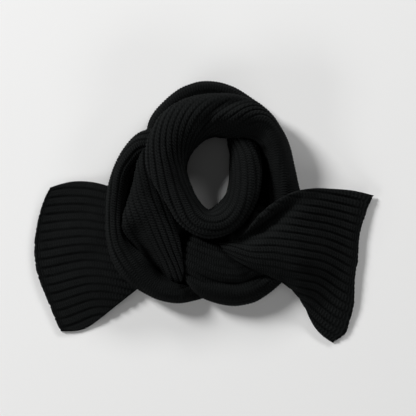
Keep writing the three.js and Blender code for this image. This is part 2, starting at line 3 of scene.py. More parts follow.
import bpy
import numpy as np
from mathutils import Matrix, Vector


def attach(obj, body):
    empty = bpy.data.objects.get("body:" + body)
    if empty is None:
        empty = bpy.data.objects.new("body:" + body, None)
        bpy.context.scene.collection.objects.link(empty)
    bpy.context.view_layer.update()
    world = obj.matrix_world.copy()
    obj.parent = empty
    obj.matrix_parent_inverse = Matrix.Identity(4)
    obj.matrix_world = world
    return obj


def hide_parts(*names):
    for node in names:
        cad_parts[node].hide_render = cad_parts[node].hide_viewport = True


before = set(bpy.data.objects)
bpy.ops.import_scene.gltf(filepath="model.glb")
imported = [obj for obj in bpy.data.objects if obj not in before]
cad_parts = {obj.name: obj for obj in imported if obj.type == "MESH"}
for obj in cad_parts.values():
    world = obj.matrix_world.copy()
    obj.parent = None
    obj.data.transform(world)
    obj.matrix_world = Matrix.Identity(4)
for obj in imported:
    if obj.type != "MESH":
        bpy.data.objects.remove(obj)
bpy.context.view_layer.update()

# The place: a matt, pale studio floor seen from straight above.
# Low soft lamps stand round it, the strongest at the upper left. Only a faint light comes from above, so that
# the floor inside the neck hole stays dim and the shadows fall to the lower right.
LAYOUT_MIDDLE = (0.00708, 0.007317)  # where the camera's line meets the floor
CAMERA_HEIGHT = 2.34
VIEW_WIDTH = 0.7488  # what the picture spans on the floor
SENSOR_WIDTH = 36
FLOOR_SIDE = 9.0
WORLD_LIGHT = 0.04

camera_data = bpy.data.cameras.new("camera")
camera_data.sensor_width = SENSOR_WIDTH
camera_data.lens = SENSOR_WIDTH * CAMERA_HEIGHT / VIEW_WIDTH
camera_data.clip_start = 0.05
camera = bpy.data.objects.new("camera", camera_data)
camera.location = (*LAYOUT_MIDDLE, CAMERA_HEIGHT)
bpy.context.scene.collection.objects.link(camera)
bpy.context.scene.camera = camera
bpy.context.scene.view_settings.view_transform = "Standard"


class Link:
    """An output socket of a graph, on which sums and products are written as for numbers."""

    def __init__(self, graph, socket):
        self.graph = graph
        self.socket = socket

    def _maths(self, operation, *values):
        return self.graph.node("ShaderNodeMath", {"operation": operation}, dict(enumerate(values)))

    def __add__(self, other):
        return self._maths("ADD", self, other)

    def __sub__(self, other):
        return self._maths("SUBTRACT", self, other)

    def __mul__(self, other):
        return self._maths("MULTIPLY", self, other)

    def __radd__(self, other):
        return self._maths("ADD", other, self)

    def __rsub__(self, other):
        return self._maths("SUBTRACT", other, self)

    def __rmul__(self, other):
        return self._maths("MULTIPLY", other, self)

    def wave(self):
        """A cosine with a crest at every whole number."""
        return self._maths("COSINE", self * math.tau)

    def distance(self):
        return self._maths("ABSOLUTE", self)

    def fraction(self):
        return self._maths("FRACT", self)


class Graph:
    """The nodes of one material."""

    def __init__(self, name):
        self.material = bpy.data.materials.new(name)
        self.material.use_nodes = True
        self.tree = self.material.node_tree
        self.tree.nodes.clear()

    def node(self, kind, settings=None, sockets=None, output=0):
        """Adds a node of a type, with its settings and its sockets' values or links, and gives one output."""
        made = self.tree.nodes.new(kind)
        for name, value in (settings or {}).items():
            setattr(made, name, value)
        for name, value in (sockets or {}).items():
            if isinstance(value, Link):
                self.tree.links.new(value.socket, made.inputs[name])
            else:
                made.inputs[name].default_value = value
        return Link(self, made.outputs[output]) if made.outputs else None

    def finish(self, shader):
        self.node("ShaderNodeOutputMaterial", None, {"Surface": shader})
        return self.material


FLOOR_COLOUR = (0.80, 0.80, 0.795, 1)
floor_graph = Graph("matt_floor")
floor_grain = floor_graph.node("ShaderNodeTexNoise", None, {"Scale": 900.0, "Detail": 3.0})
floor_bump = floor_graph.node(
    "ShaderNodeBump", None, {"Strength": 0.05, "Distance": 0.001, "Height": floor_grain}
)
floor_material = floor_graph.finish(
    floor_graph.node(
        "ShaderNodeBsdfPrincipled",
        None,
        {"Base Color": FLOOR_COLOUR, "Roughness": 0.85, "Specular IOR Level": 0.2, "Normal": floor_bump},
    )
)
half = FLOOR_SIDE / 2
floor_mesh = bpy.data.meshes.new("studio_floor")
floor_mesh.from_pydata(
    [(-half, -half, 0), (half, -half, 0), (half, half, 0), (-half, half, 0)], [], [(0, 1, 2, 3)]
)
floor_mesh.materials.append(floor_material)
floor = bpy.data.objects.new("studio_floor", floor_mesh)
bpy.context.scene.collection.objects.link(floor)

LAMPS = {
    # direction round the scarf, height of the light in degrees, distance, width, height, watts
    "key": (143, 26, 8.0, 1.9, 1.9, 800),
    "fill_left": (215, 20, 6.0, 5.0, 1.0, 135),
    "fill_back": (55, 20, 6.0, 5.0, 1.0, 250),
    "fill_front": (310, 20, 6.0, 5.0, 1.0, 85),
}
for lamp_name, (around, above, distance, width, height, watts) in LAMPS.items():
    lamp_data = bpy.data.lights.new(lamp_name, "AREA")
    lamp_data.shape = "ELLIPSE"
    lamp_data.size = width
    lamp_data.size_y = height
    lamp_data.energy = watts
    lamp = bpy.data.objects.new(lamp_name, lamp_data)
    turn, rise = math.radians(around), math.radians(above)
    lamp.location = (
        distance * math.cos(turn) * math.cos(rise),
        distance * math.sin(turn) * math.cos(rise),
        distance * math.sin(rise),
    )
    lamp.rotation_euler = (-Vector(lamp.location)).to_track_quat("-Z", "Y").to_euler()
    bpy.context.scene.collection.objects.link(lamp)
world = bpy.data.worlds.new("studio")
world.use_nodes = True
background = world.node_tree.nodes["Background"]
background.inputs["Color"].default_value = (1, 1, 1, 1)
background.inputs["Strength"].default_value = WORLD_LIGHT
bpy.context.scene.world = world

# The left-hand end: the cast-on end of the scarf, spread flat on the floor and held by what lies on it.
# It is chunky acrylic knitting in 2 x 2 rib, two knit columns raised and two purl columns sunk between them,
# 18 ribs wide and all in one piece, with a thick cast-on edge that is bound with nothing.
KNIT_THICKNESS = 3.0  # at the bottom of a groove between two ribs, in millimetres as all the tables are
RIB_PITCH = 14.4
RIB_HEIGHT = 2.2
STITCH_ROW = 4.7  # height of one row of stitches
EDGE_ROUNDING = 2.6
LAYER_GAP = 0.2
ROWS_PER_STITCH = 4  # lines of the mesh in one row of stitches
MESH_WIDTH = 1.45  # spacing of the mesh across the ribs
SPARSE = 8  # lines of the outer face for each one of the plain inner face
KEPT_LINES = 3  # lines next to each edge that the inner face has too
ACROSS = 24  # even steps of the smooth surface across a stretch
ROUNDING_STEPS = 48
KNIT_NAME = "black_rib_knit"

# where the three points, the two roundings and the first and last rib stand in a row of a table
LOW, CREST, HIGH = slice(0, 3), slice(3, 6), slice(6, 9)
ROUNDINGS, RIBS = slice(9, 11), slice(11, 13)

LEFT_END = [
    # upper edge        crest              lower edge        rounding  ribs
    ((-124, 7, 18), (-117, -61, 25), (-103, -127, 16), 30, 30, 0.6, 10.4),
    ((-160, 31, 14), (-153, -57, 23), (-132, -150, 13), 30, 35, 0.2, 13.2),
    ((-185, 42, 10), (-185, -54, 20), (-165, -176, 10), 30, 40, 0, 15.8),
    ((-215, 48, 5), (-222, -58, 13), (-195, -200, 6), 30, 40, 0, 17.6),
    ((-244, 48, 3), (-261, -68, 8), (-220, -217, 3), 30, 35, 0.1, 18),
    ((-266, 43, 3), (-289, -75, 4), (-242, -222, 3), 30, 30, 0.3, 17.7),
    ((-284, 37, 3), (-312, -86, 3), (-264, -222, 3), 30, 30, 0.5, 17.5),
]
LEFT_END_TROUGHS = [
    # from         to           depth  half width
    ((-193, -83), (-257, -101), 2.7, 16),
    ((-200, 4), (-270, -20), 2.7, 14),
]
LEFT_HEM = [
    # place across the end, and how far its edge stands out there
    (-1, 0),
    (-0.5, -2),
    (0, 0),
    (0.6, -4),
    (1, 0),
]


def smooth_step(value):
    """Eases a value that runs from 0 to 1, and holds it there beyond."""
    value = np.clip(value, 0, 1)
    return value * value * (3 - 2 * value)


def row_at(rows, at):
    """The numbers of a table's rows at places between them, such as 2.5, on a smooth curve."""
    at = np.asarray(at, float)
    i = np.minimum(at.astype(int), len(rows) - 2)
    f = (at - i)[:, None]
    before, start, end, after = (rows[np.clip(i + n, 0, len(rows) - 1)] for n in (-1, 0, 1, 2))
    leaving, arriving = (end - before) / 2, (after - start) / 2
    return (
        ((2 * f - 3) * f * f + 1) * start
        + ((f - 2) * f + 1) * f * leaving
        + (3 - 2 * f) * f * f * end
        + (f - 1) * f * f * arriving
    )


def run_of(points):
    """Distance along a line of points."""
    return np.concatenate([[0], np.cumsum(np.linalg.norm(np.diff(points, axis=0), axis=1))])


def sections_of(rows):
    """Points over every section, from edge to crest to edge, then spaced evenly along it."""
    t = np.linspace(-1, 1, ROUNDING_STEPS + 1)
    made = []
    for row in rows:
        low, crest, high = row[LOW], row[CREST], row[HIGH]
        full = np.radians(np.where(t < 0, *row[ROUNDINGS]))
        side = np.sin(t * full) / np.sin(full)
        down = (1 - np.cos(t * full)) / (1 - np.cos(full))
        half_width = (high - low)[:2] / 2
        bow = (low + high)[:2] / 2 - crest[:2]
        flat = crest[:2] + np.outer(side, half_width) + np.outer(side**2, bow)
        z = crest[2] + (np.where(t < 0, low[2], high[2]) - crest[2]) * down
        line = np.column_stack([flat, z])
        run = run_of(line)
        even = np.linspace(0, run[-1], ACROSS + 1)
        made.append(np.column_stack([np.interp(even, run, line[:, n]) for n in range(3)]))
    return np.array(made)


def read_table(pairs, at):
    """A number from a short table, eased from one line to the next."""
    places, values = np.array(pairs, float).T
    n = np.clip(np.searchsorted(places, at), 1, len(places) - 1)
    f = smooth_step((at - places[n - 1]) / (places[n] - places[n - 1]))
    return values[n - 1] + (values[n] - values[n - 1]) * f


def trough_depth(troughs, points):
    """How deep the listed creases are at points of the plan; a ridge is a trough of negative depth."""
    deepest = np.zeros(points.shape[:-1])
    for start, end, depth, half_width in troughs:
        start, way = np.array(start, float), np.subtract(end, start).astype(float)
        off = points[..., :2] - start
        share = np.clip((off @ way) / (way @ way), 0, 1)
        away = np.linalg.norm(off - share[..., None] * way, axis=-1)
        soft = depth * np.exp(-((away / half_width) ** 2))
        deepest = np.where(np.abs(soft) > np.abs(deepest), soft, deepest)
    return deepest


SOFTENING_ROUNDS = 4
OWN_WEIGHT = 4  # of a height against each of its neighbours


def softened(wanted):
    """Spreads wanted heights over their neighbours without lowering any."""
    now = wanted
    for _ in range(SOFTENING_ROUNDS):
        total, count = OWN_WEIGHT * now, OWN_WEIGHT * np.ones_like(now)
        for axis in (0, 1):
            heights, sums, counts = (np.moveaxis(values, axis, 0) for values in (now, total, count))
            sums[1:] += heights[:-1]
            counts[1:] += 1
            sums[:-1] += heights[1:]
            counts[:-1] += 1
        now = np.maximum(total / count, wanted)
    return now


def spline(points, places, axis):
    """Points of a smooth surface over even control points, at places counted in them."""
    points = np.moveaxis(points, axis, 0)
    padded = np.concatenate([2 * points[:1] - points[1:2], points, 2 * points[-1:] - points[-2:-1]])
    i = np.minimum(places.astype(int), len(points) - 2)
    f = (places - i).reshape((-1,) + (1,) * (points.ndim - 1))
    weights = ((1 - f) ** 3, 3 * f**3 - 6 * f**2 + 4, -3 * f**3 + 3 * f**2 + 3 * f + 1, f**3)
    made = sum(w * padded[i + n] for n, w in enumerate(weights)) / 6
    return np.moveaxis(made, 0, axis)


class Heights:
    """The top of what has been laid so far, one height for each square millimetre of the plan."""

    SIDE = 700  # of the square of the plan that is kept, about its middle

    def __init__(self, empty):
        self.cells = np.full((self.SIDE, self.SIDE), float(empty))

    def cell(self, points):
        found = np.floor(points[..., :2] + self.SIDE / 2).astype(int)
        return tuple(np.clip(found[..., n], 1, self.SIDE - 2) for n in (1, 0))

    def mark(self, grid):
        """Marks a surface, given as a grid of points no more than about 2 mm apart."""
        for _ in range(2):
            finer = np.empty((2 * len(grid) - 1, *grid.shape[1:]))
            finer[::2] = grid
            finer[1::2] = (grid[1:] + grid[:-1]) / 2
            grid = np.swapaxes(finer, 0, 1)
        np.maximum.at(self.cells, self.cell(grid), grid[..., 2])

    def read(self, points):
        """The highest mark within a cell of each point."""
        near = self.cells.copy()
        for axis in (0, 1):
            near = np.maximum.reduce([near, np.roll(near, 1, axis), np.roll(near, -1, axis)])
        return near[self.cell(points)]


WAVES = [
    # how tight along X and along Y, where it starts, and its strength
    (5.1, 1.9, 0.4, 1),
    (-2.3, 4.7, 2.1, 1),
    (3.3, -5.9, 4.0, 1),
    (7.3, 3.7, 1.2, 0.6),
]


def unevenness(points, size, shift=0):
    """A slow rise and fall over the plan, from -1 to 1, in waves of about a size; a shift gives others."""
    x, y = (points[..., 0] + shift) / size, (points[..., 1] + shift) / size
    total = sum(strength * np.sin(by_x * x + by_y * y + start) for by_x, by_y, start, strength in WAVES)
    return total / sum(strength for *_, strength in WAVES)


# across the ribs, as shares of the distance from one groove to the next
RIB_SLOPE = 0.27  # from the bottom of a groove up to the crown
COLUMN_PLACE = 0.17  # of the middle of each knit column, from the middle of the rib
COLUMN_WIDTH = 0.11
VALLEY_WIDTH = 0.05  # of the line between the two columns
PURL_START, PURL_SLOPE = 0.36, 0.1
# along the ribs, in rows of stitches
STITCH_SLANT = 1.5  # how far a stitch runs on for each share across
# heights, the first two as shares of a rib's height and the others in millimetres
VALLEY_DEPTH = 0.13
PULLED_HEIGHT = 0.45  # of the knitting where it is pulled flat
STITCH_HEIGHT = 0.85
PURL_HEIGHT = 0.4


def off_middle_of(rib):
    """Distance from the middle of the nearest rib. Whole numbers of rib fall in the grooves."""
    return np.abs(rib - np.floor(rib) - 0.5)


def knit_relief(rib, row, share):
    """How far the knitting stands out at a place across the ribs and along the rows of stitches.

    The two knit columns of a rib stand on either side of its middle, and their stitches are small V shapes.
    The purl columns turn into the groove. Where the share is low the knitting is pulled flat, and only its
    stitches show."""
    off = off_middle_of(rib)
    crown = smooth_step((0.5 - off) / RIB_SLOPE) - VALLEY_DEPTH * np.exp(-((off / VALLEY_WIDTH) ** 2))
    lobe = np.exp(-(((off - COLUMN_PLACE) / COLUMN_WIDTH) ** 2))
    chevron = np.cos(math.tau * (row + STITCH_SLANT * np.abs(off - COLUMN_PLACE)))
    bumps = np.cos(math.tau * (row + 0.5)) * smooth_step((off - PURL_START) / PURL_SLOPE)
    flat = PULLED_HEIGHT * RIB_HEIGHT
    ribbed = flat + (RIB_HEIGHT * crown - flat) * share
    return ribbed + STITCH_HEIGHT * lobe * chevron + PURL_HEIGHT * bumps


# how uneven the hand-laid knitting is, and over what distance
UNEVEN_PULL, UNEVEN_PULL_SIZE = 0.22, 60
UNEVEN_FACE, UNEVEN_FACE_SIZE = 0.5, 38
UNEVEN_LOOPS, UNEVEN_LOOPS_SIZE = 0.8, 17
# the cast-on and cast-off edges, with distances from the edge
# the share of the ribs that is left at a cast edge also sets how much of their painted highlight is left
# there, so the edge is darker as painted shade
HEM_SHARE = 0.35  # of the ribs' height that is left at the edge
HEM_START, HEM_SLOPE = 7, 12  # where the ribs start to rise from that, and how slowly
HEM_RISE_START, HEM_RISE = 1, 5  # where the whole relief of the knitting starts, and how slowly
CAST_PLACE, CAST_WIDTH = 3.2, 1.9  # the thick line of the cast
CAST_HEIGHT, CAST_RIPPLE = 1.5, 0.6
CAST_LOOP = 0.7  # how far its loops stand out from their line
CAST_LOOP_REACH = 9
HEM_REACH = 5  # sections over which an edge is pushed to its own outline
CREST_RISE = 2  # least height of a crest over its edges
LAYING_ROUNDS = 5
OUTER_ROUNDING = 0.42  # share of the rounding that the outer face takes


def rounding_at(from_edge):
    """How far the thickness has closed, from 0 inside the wall to 1 at its edge, on a quarter of a circle."""
    return 1 - np.sqrt(np.clip(1 - np.clip(1 - from_edge / EDGE_ROUNDING, 0, 1) ** 2, 0, 1))


class Stretch:
    """One stretch of the knitting that shows: a wall laid through the sections of its table.

    The step is the distance between two sections, troughs are creases and ridges, hem is the outline of a
    cast edge at the table's end, and smooth holds the lines beside which the ribs are pulled flat and their
    painted highlight fades."""

    FINE = 24  # points between two rows of the table for measuring its length

    def __init__(self, name, table, step, troughs=(), hem=None, smooth=()):
        self.name = name
        rows = np.array([[*low, *crest, *high, *rest] for low, crest, high, *rest in table], float)
        places = np.linspace(0, len(rows) - 1, (len(rows) - 1) * self.FINE + 1)
        run = run_of(row_at(rows, places)[:, CREST])
        self.length = run[-1]
        count = round(self.length / step)
        self.places = np.interp(np.linspace(0, self.length, count + 1), run, places)
        self.sections = row_at(rows, self.places)
        self.troughs = troughs
        self.hem = hem
        self.smooth = smooth
        self.lift = np.zeros((count + 1, ACROSS + 1))
        # where the mesh's rows and columns lie, counted in sections and in steps across them
        widest = max(run_of(line)[-1] for line in sections_of(self.sections))
        lines = round(self.length / STITCH_ROW * ROWS_PER_STITCH)
        self.down = np.linspace(0, len(self.sections) - 1, lines + 1)
        self.over = np.linspace(0, ACROSS, round(widest / MESH_WIDTH) + 1)

    def surface(self):
        """The smooth surface at the bottom of the grooves as a fine grid, and which way it faces."""
        points = sections_of(self.sections)
        points[..., 2] += self.lift - trough_depth(self.troughs, points)
        points[..., 2] = np.maximum(points[..., 2], 0)
        if self.hem:
            self.push_hem(points)
        grid = spline(spline(points, self.down, 0), self.over, 1)
        along, wide = np.gradient(grid, axis=0), np.gradient(grid, axis=1)
        facing = np.cross(wide, along)
        facing /= np.maximum(np.linalg.norm(facing, axis=-1, keepdims=True), 1e-9)
        self.turned = facing[:, facing.shape[1] // 2, 2].mean() < 0
        return grid, -facing if self.turned else facing

    def push_hem(self, points):
        """Moves the last sections along the ribs, so that a cast edge has its own outline."""
        last = len(points) - 1
        across = np.linspace(-1, 1, ACROSS + 1)
        for j in range(last, last - HEM_REACH, -1):
            ahead = points[j, :, :2] - points[j - 1, :, :2]
            ahead /= np.linalg.norm(ahead, axis=1, keepdims=True)
            share = ((j - last + HEM_REACH) / HEM_REACH) ** 2
            points[j, :, :2] += ahead * (share * read_table(self.hem, across))[:, None]

    def rib_numbers(self):
        """Which of the scarf's ribs lies at each point of the grid."""
        edges = spline(self.sections[:, RIBS], self.down, 0)
        share = self.over / ACROSS
        return edges[:, :1] + (edges[:, 1:] - edges[:, :1]) * share

    def faces_of_wall(self):
        """The outer face with its ribs and the plain inner face, rounded together at the edges."""
        grid, facing = self.surface()
        ribs = self.rib_numbers()
        rows = np.linspace(0, self.length / STITCH_ROW, len(self.down))[:, None] + 0 * ribs
        share = 1 - trough_depth(self.smooth, grid)
        share *= 1 + UNEVEN_PULL * unevenness(grid, UNEVEN_PULL_SIZE, shift=40)
        from_end = (rows[-1:] - rows) * STITCH_ROW
        if self.hem:
            share *= HEM_SHARE + (1 - HEM_SHARE) * smooth_step((from_end - HEM_START) / HEM_SLOPE)
        self.share = np.clip(share, 0, 1)
        relief = knit_relief(ribs, rows, self.share)
        relief += UNEVEN_FACE * unevenness(grid, UNEVEN_FACE_SIZE, shift=90)
        first, last = ribs[:, :1], ribs[:, -1:]
        from_side = np.minimum(np.abs(ribs - first), np.abs(ribs - last)) * RIB_PITCH
        round_over = rounding_at(from_side)
        if self.hem:
            round_over = np.maximum(round_over, rounding_at(from_end))
            twice_a_rib = np.cos(math.tau * 2 * ribs)
            cast = np.exp(-(((from_end - CAST_PLACE) / CAST_WIDTH) ** 2))
            relief = relief * smooth_step((from_end - HEM_RISE_START) / HEM_RISE)
            relief += cast * (CAST_HEIGHT + CAST_RIPPLE * twice_a_rib)
            ahead = grid[-1] - grid[-2]
            ahead /= np.linalg.norm(ahead, axis=1, keepdims=True)
            loops = twice_a_rib + UNEVEN_LOOPS * unevenness(grid, UNEVEN_LOOPS_SIZE)
            near_edge = smooth_step(1 - from_end / CAST_LOOP_REACH)
            grid = grid + ahead * (CAST_LOOP * loops * near_edge)[..., None]
        relief *= 1 - round_over
        outer = grid + facing * (relief - round_over * KNIT_THICKNESS * OUTER_ROUNDING)[..., None]
        inner = grid - facing * (KNIT_THICKNESS * (1 - OUTER_ROUNDING * round_over))[..., None]
        for face in (outer, inner):
            face[..., 2] = np.maximum(face[..., 2], 0)
        return outer, inner, ribs, rows

    def lay_on(self, tops, first, last):
        """Raises a stretch between two rows of its table until it clears what lies below it.

        The edges and the crest go up first, and then single points."""
        in_range = (self.places >= first) & (self.places <= last)
        low, crest, high = (self.sections[:, point] for point in (LOW, CREST, HIGH))
        for line in (low, crest, high):
            need = tops.read(line) + LAYER_GAP + KNIT_THICKNESS - line[:, 2]
            wanted = np.where(in_range, np.maximum(need, 0), 0)[:, None]
            line[:, 2] += np.where(in_range, softened(wanted)[:, 0], 0)
        crest[:, 2] = np.maximum(crest[:, 2], np.maximum(low[:, 2], high[:, 2]) + CREST_RISE)
        rows, columns = self.down.astype(int), self.over.astype(int)
        following = np.minimum(rows + 1, len(in_range) - 1)
        inside = (rows < len(self.places) - 1) & in_range[rows] & in_range[following]
        for _ in range(LAYING_ROUNDS):
            inner = self.faces_of_wall()[1][inside]
            need = np.maximum(tops.read(inner) + LAYER_GAP - inner[..., 2], 0)
            wanted = np.zeros_like(self.lift)
            for dj in (0, 1):
                for dk in (0, 1):
                    j = (rows[inside] + dj)[:, None] + 0 * columns
                    k = np.minimum(columns + dk, ACROSS) + 0 * j
                    np.maximum.at(wanted, (j, k), need)
            self.lift += softened(wanted)

    def mark_on(self, tops, first=0, last=math.inf):
        """Adds a stretch between two rows of its table to what has been laid."""
        places = np.interp(self.down, np.arange(len(self.places)), self.places)
        outer = self.faces_of_wall()[0]
        tops.mark(outer[(places >= first) & (places <= last)])

    def make(self):
        """The closed wall as an object: its outer face, its sparser inner face, and strips at the edges."""
        outer, inner, ribs, rows = self.faces_of_wall()
        count, width = ribs.shape
        sparse_rows, sparse_columns = sparse(count), sparse(width)
        kept = np.ix_(sparse_rows, sparse_columns)
        inner_grid = inner[kept]
        outer_ids = np.arange(count * width).reshape(count, width)
        inner_ids = count * width + np.arange(inner_grid[..., 0].size).reshape(inner_grid.shape[:2])
        faces = np.concatenate([quads_of(outer_ids), quads_of(inner_ids)[:, ::-1]]).tolist()
        for k, flipped in ((0, False), (-1, True)):
            faces += zipped(outer_ids[:, k], np.arange(count), inner_ids[:, k], sparse_rows, flipped)
        for j, flipped in ((0, True), (-1, False)):
            faces += zipped(outer_ids[j], np.arange(width), inner_ids[j], sparse_columns, flipped)
        if self.turned:
            faces = [face[::-1] for face in faces]
        points = np.concatenate([outer.reshape(-1, 3), inner_grid.reshape(-1, 3)])
        rib, row, share = (
            np.concatenate([values.ravel(), values[kept].ravel()]) for values in (ribs, rows, self.share)
        )
        return knitted_object(self.name, points, faces, np.column_stack([rib, row]), share)


def sparse(count):
    """The lines that the inner face has: those next to the edges, and evenly spaced ones between them."""
    start, end = KEPT_LINES + 1, count - KEPT_LINES - 2
    between = np.linspace(start, end, max(round((end - start) / SPARSE), 1) + 1).round().astype(int)
    return np.unique([*range(KEPT_LINES), *between, *range(count - KEPT_LINES, count)])


def quads_of(ids):
    """The four-sided faces between the lines of a grid of vertices."""
    return np.stack([ids[:-1, :-1], ids[:-1, 1:], ids[1:, 1:], ids[1:, :-1]], axis=-1).reshape(-1, 4)


def zipped(near, near_keys, far, far_keys, flipped):
    """Triangles between two lines of vertices, each of which has a key that grows along it."""
    made = []
    i = j = 0
    while i < len(near) - 1 or j < len(far) - 1:
        if j == len(far) - 1 or (i < len(near) - 1 and near_keys[i + 1] <= far_keys[j + 1]):
            made.append([int(near[i]), int(near[i + 1]), int(far[j])])
            i += 1
        else:
            made.append([int(near[i]), int(far[j + 1]), int(far[j])])
            j += 1
    return [face[::-1] for face in made] if flipped else made


def knitted_object(name, points, faces, knit, share):
    """A smooth mesh in metres, with its place in the knitting as the map that the yarn is drawn from."""
    mesh = bpy.data.meshes.new(name)
    mesh.from_pydata(points / 1000 + (*LAYOUT_MIDDLE, 0), [], faces)
    mesh.update()
    corner = np.zeros(len(mesh.loops), np.int32)
    mesh.loops.foreach_get("vertex_index", corner)
    layer = mesh.uv_layers.new(name="Knit")
    layer.data.foreach_set("uv", knit[corner].astype(np.float32).ravel())
    rib_share = mesh.attributes.new("rib_share", "FLOAT", "POINT")
    rib_share.data.foreach_set("value", share.astype(np.float32))
    mesh.shade_smooth()
    mesh.materials.append(knit_material)
    made = bpy.data.objects.new(name, mesh)
    bpy.context.scene.collection.objects.link(made)
    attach(made, "root")
    return made


# The yarn: soft black acrylic, matt, with a little fuzz; the crowns of its ribs and its stitches carry a
# painted highlight, and its grooves stay darker as painted shade.
# the yarn's own black, and the lighter colour of the painted highlight on the crowns of the ribs and on the
# stitches
YARN_COLOUR = (0.0026, 0.0030, 0.0030, 1)
YARN_LIT_COLOUR = (0.0085, 0.0094, 0.0094, 1)
PLIES, PLY_SLANT = 3, 9  # twists of the yarn in one row of stitches, and how they lean
CROWN_EDGE, CROWN_RISE = 0.43, 4.6  # where the lit crown of a rib ends, and how steeply it starts
SHADE = 0.86  # what the lit parts have to come up from
yarn = Graph(KNIT_NAME)
place = yarn.node("ShaderNodeUVMap", {"uv_map": "Knit"})
across_ribs = yarn.node("ShaderNodeSeparateXYZ", None, {"Vector": place})
along_rows = Link(yarn, across_ribs.socket.node.outputs["Y"])
off_middle = (across_ribs.fraction() - 0.5).distance()
leg = (off_middle - COLUMN_PLACE).distance()
stitches = (along_rows + leg * STITCH_SLANT).wave()
ply = (along_rows * PLIES - leg * PLY_SLANT).wave()
fuzz = yarn.node("ShaderNodeTexNoise", None, {"Scale": 700.0, "Detail": 4.0, "Roughness": 0.7})
strands_noise = yarn.node("ShaderNodeTexNoise", None, {"Scale": 260.0, "Detail": 3.0})
patches = yarn.node("ShaderNodeTexNoise", None, {"Scale": 22.0, "Detail": 2.0})
# the share of the ribs that is left: where it is low, the painted highlight on the crowns fades and the place
# stays darker as painted shade
rib_share = yarn.node("ShaderNodeAttribute", {"attribute_name": "rib_share"}, output=2)
# the painted highlight across each rib, brightest on its crown and gone in its grooves
rise = yarn.node("ShaderNodeClamp", None, {"Value": (CROWN_EDGE - off_middle) * CROWN_RISE})
crown = rise * rib_share
# each sum says how much of the bump's height or of the painted highlight its parts give
height = stitches * 0.30 + ply * 0.12 + fuzz * 0.55 + strands_noise * 0.45
bump = yarn.node("ShaderNodeBump", None, {"Strength": 0.8, "Distance": 0.0009, "Height": height})
painted_highlight = crown * 0.52 + stitches * 0.30 + fuzz * 0.60 + strands_noise * 0.80 + patches * 0.50 - SHADE
lit = yarn.node("ShaderNodeClamp", None, {"Value": painted_highlight})
colour = yarn.node(
    "ShaderNodeMix",
    {"data_type": "RGBA"},
    {0: lit, 6: YARN_COLOUR, 7: YARN_LIT_COLOUR},
    output=2,
)
knit_material = yarn.finish(
    yarn.node(
        "ShaderNodeBsdfPrincipled",
        None,
        {
            "Base Color": colour,
            "Roughness": 0.93,
            "IOR": 1.12,
            "Sheen Weight": 0.01,
            "Sheen Roughness": 0.5,
            "Sheen Tint": (1, 1, 1, 1),
            "Normal": bump,
        },
    )
)

tops = Heights(-KNIT_THICKNESS - LAYER_GAP)
left_end = Stretch("left_end_cloth", LEFT_END, step=16, troughs=LEFT_END_TROUGHS, hem=LEFT_HEM)
left_end.lay_on(tops, 0, len(LEFT_END) - 1)
left_end.mark_on(tops)
left_end_cloth = left_end.make()
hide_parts("left_end")

# The wound part: one length of the same knitting that goes twice round the neck hole and crosses in front.
# Nothing is sewn: every turn is held by the weight and the grip of the turns that lie over it. Each
# stretch that shows is made as it lies, from the bottom of the heap up.
LEFT_RIM = [
    # outer edge        crest              inner edge        rounding  ribs
    ((-90, 146, 0), (-86, 130, 20), (-79, 110, 13), 88, 60, 0, 4),
    ((-108, 140, 0), (-105, 121, 27), (-103, 99, 18), 90, 60, 0, 4.4),
    ((-130, 130, 0), (-123, 113, 31), (-114, 93, 18), 90, 60, 0, 4.6),
    ((-149, 108, 0), (-141, 95, 33), (-127, 72, 16), 90, 60, 0, 4.8),
    ((-166, 77, 0), (-157, 69, 36), (-138, 50, 16), 90, 60, 0, 5),
    ((-176, 43, 11), (-166, 36, 39), (-146, 22, 18), 88, 60, 0, 5),
    ((-180, 5, 18), (-170, 0, 42), (-149, -7, 23), 88, 60, 0, 5),
    ((-180, -36, 20), (-168, -39, 45), (-148, -40, 31), 88, 60, 0, 5),
    ((-175, -75, 16), (-161, -73, 46), (-138, -63, 31), 88, 60, 0, 5),
    ((-160, -110, 7), (-148, -99, 43), (-117, -79, 21), 88, 45, 0, 5.4),
    ((-138, -135, 2), (-128, -120, 40), (-101, -97, 17), 90, 45, 0, 5.6),
    ((-107, -155, 0), (-102, -141, 38), (-85, -115, 17), 90, 45, 0, 5.6),
    ((-75, -168, 0), (-73, -153, 36), (-66, -129, 19), 90, 50, 0, 5.4),
    ((-43, -169, 0), (-43, -155, 30), (-46, -137, 18), 90, 65, 0, 4.8),
    ((-16, -163, 0), (-19, -151, 16), (-26, -138, 10), 88, 60, 0, 4),
    ((7, -157, 0), (4, -147, 8), (-4, -134, 5), 70, 50, 0, 3),
]
